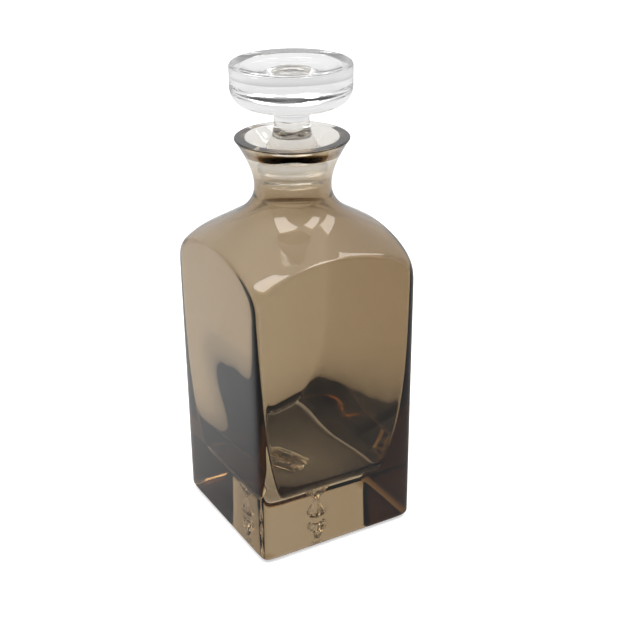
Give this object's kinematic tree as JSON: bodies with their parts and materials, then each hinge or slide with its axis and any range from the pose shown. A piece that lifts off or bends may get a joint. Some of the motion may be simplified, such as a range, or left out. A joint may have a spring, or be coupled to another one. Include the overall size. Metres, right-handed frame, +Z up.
{
  "type": "decanter with stopper",
  "caption": "Square smoked-glass spirits decanter with a domed shoulder, flared neck, thick solid foot holding a sealed air bell, and a clear disc-headed glass stopper that lifts out.",
  "frame": {"origin": "centre of the underside, on the surface it stands on", "axes": "+Z up along the neck and stopper; the four flat faces are square to X and Y"},
  "size_m": [0.0908, 0.0908, 0.245],
  "materials": {
    "smoked_glass": "polished, tan-grey tint",
    "clear_glass": "polished, colourless"
  },
  "bodies": {
    "decanter": {"decanter_body": "smoked_glass"},
    "stopper": {"stopper": "clear_glass"}
  },
  "joints": [
    {"name": "stopper_lift", "type": "slide", "parent": "decanter", "child": "stopper", "axis": [0, 0, 1], "range_m": [0, 0.06]}
  ]
}
